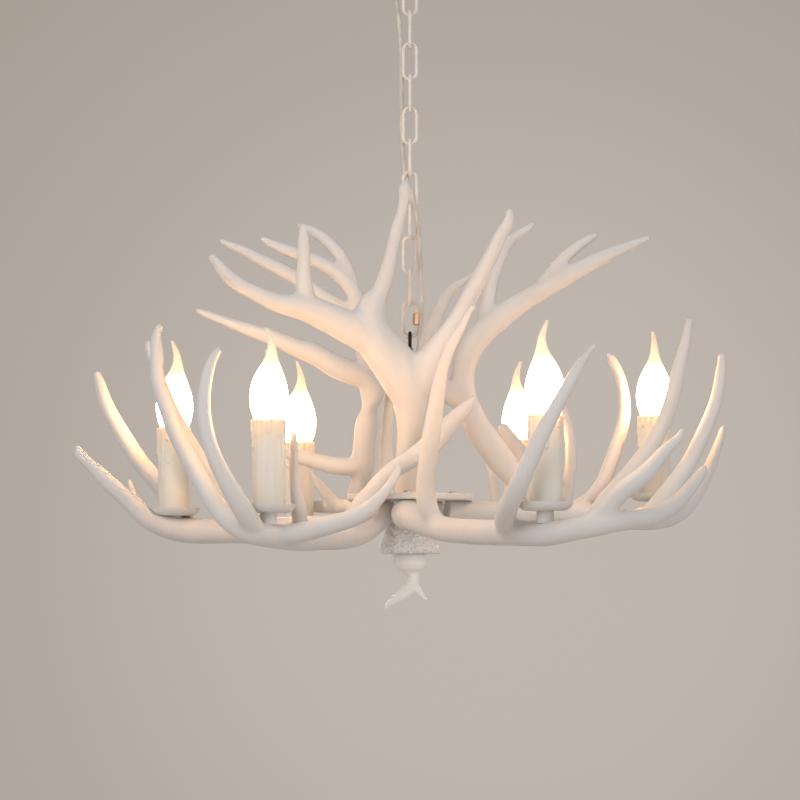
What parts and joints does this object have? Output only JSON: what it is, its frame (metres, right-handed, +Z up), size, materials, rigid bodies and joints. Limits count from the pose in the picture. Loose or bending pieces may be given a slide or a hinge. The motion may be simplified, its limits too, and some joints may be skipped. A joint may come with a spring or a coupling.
{
  "type": "antler chandelier",
  "caption": "Cream antler chandelier with candle lights on a disc and cone hub, hung by a link chain and screw link from a ceiling cover, with a supply cord through the chain.",
  "frame": {"origin": "centre of the crossbar's top face, which lies flat on the ceiling", "axes": "+Z up, +X to the right and -Y towards the viewer of the picture"},
  "size_m": [0.6656, 0.576, 0.7016],
  "materials": {
    "antler": "matt cast resin",
    "stucco": "rough plaster coat",
    "cream_metal": "satin cream paint",
    "steel": "zinc plated",
    "brass": "dull",
    "grip": "moulded",
    "cord": "smooth sheath",
    "dish": "satin",
    "candle": "wax-like",
    "holder": "matt",
    "glass": "frosted, lit",
    "cap": "threaded"
  },
  "bodies": {
    "ceiling_mount": {"ceiling_crossbar": "steel", "canopy": "cream_metal", "hanger_stem": "steel", "stem_nuts": "steel", "ceiling_loop": "cream_metal", "cord_grip": "grip", "canopy_nuts": "cream_metal"},
    "top_link": {"chain_link_01": "cream_metal"},
    "chain": {"chain_link_02": "cream_metal", "chain_link_03": "cream_metal", "chain_link_04": "cream_metal", "chain_link_05": "cream_metal", "chain_link_06": "cream_metal", "chain_link_07": "cream_metal", "chain_link_08": "cream_metal", "chain_link_09": "cream_metal", "chain_link_10": "cream_metal", "supply_cord": "cord"},
    "screw_link": {"quick_link": "cream_metal"},
    "link_nut": {"quick_link_nut": "brass"},
    "fixture": {"hub_loop": "cream_metal", "hub_column": "cream_metal", "hub_disc": "cream_metal", "hub_cone": "stucco", "finial": "antler", "antler_screws": "steel", "lower_antler_front_right": "antler", "lower_antler_right": "antler", "lower_antler_back_right": "antler", "lower_antler_back_left": "antler", "lower_antler_left": "antler", "lower_antler_front_left": "antler", "upper_antler_front": "antler", "upper_antler_left": "antler", "upper_antler_right": "antler", "candle_cup_front_right": "dish", "candle_cup_front_left": "dish", "candle_cup_left": "dish", "candle_cup_right": "dish", "candle_cup_back_left": "dish", "candle_cup_back_right": "dish", "candle_sleeve_front_right": "candle", "candle_sleeve_front_left": "candle", "candle_sleeve_left": "candle", "candle_sleeve_right": "candle", "candle_sleeve_back_left": "candle", "candle_sleeve_back_right": "candle", "lampholders": "holder"},
    "bulb_front_right": {"bulb_glass_front_right": "glass", "bulb_cap_front_right": "cap"},
    "bulb_front_left": {"bulb_glass_front_left": "glass", "bulb_cap_front_left": "cap"},
    "bulb_left": {"bulb_glass_left": "glass", "bulb_cap_left": "cap"},
    "bulb_right": {"bulb_glass_right": "glass", "bulb_cap_right": "cap"},
    "bulb_back_left": {"bulb_glass_back_left": "glass", "bulb_cap_back_left": "cap"},
    "bulb_back_right": {"bulb_glass_back_right": "glass", "bulb_cap_back_right": "cap"}
  },
  "joints": [
    {"name": "top_link_swing", "type": "hinge", "parent": "ceiling_mount", "child": "top_link", "pos_m": [0, 0, -0.0591], "axis": [0, 1, 0], "range_deg": [-20, 20], "deforming": ["supply_cord"]},
    {"name": "chain_swing", "type": "hinge", "parent": "top_link", "child": "chain", "pos_m": [0, 0, -0.09215], "axis": [1, 0, 0], "range_deg": [-20, 20], "deforming": ["supply_cord"]},
    {"name": "screw_link_swing", "type": "hinge", "parent": "chain", "child": "screw_link", "pos_m": [0, 0, -0.39185], "axis": [0, 1, 0], "range_deg": [-8, 8], "deforming": ["supply_cord"]},
    {"name": "fixture_swing", "type": "hinge", "parent": "screw_link", "child": "fixture", "pos_m": [0, 0, -0.4244], "axis": [1, 0, 0], "range_deg": [-8, 8], "deforming": ["supply_cord"]},
    {"name": "link_nut_travel", "type": "slide", "parent": "screw_link", "child": "link_nut", "axis": [0, 0, 1], "range_m": [0, 0.0065]},
    {"name": "bulb_front_right_lift", "type": "slide", "parent": "fixture", "child": "bulb_front_right", "axis": [0, 0, 1], "range_m": [0, 0.03]},
    {"name": "bulb_front_left_lift", "type": "slide", "parent": "fixture", "child": "bulb_front_left", "axis": [0, 0, 1], "range_m": [0, 0.03]},
    {"name": "bulb_left_lift", "type": "slide", "parent": "fixture", "child": "bulb_left", "axis": [0, 0, 1], "range_m": [0, 0.03]},
    {"name": "bulb_right_lift", "type": "slide", "parent": "fixture", "child": "bulb_right", "axis": [0, 0, 1], "range_m": [0, 0.03]},
    {"name": "bulb_back_left_lift", "type": "slide", "parent": "fixture", "child": "bulb_back_left", "axis": [0, 0, 1], "range_m": [0, 0.03]},
    {"name": "bulb_back_right_lift", "type": "slide", "parent": "fixture", "child": "bulb_back_right", "axis": [0, 0, 1], "range_m": [0, 0.03]}
  ]
}
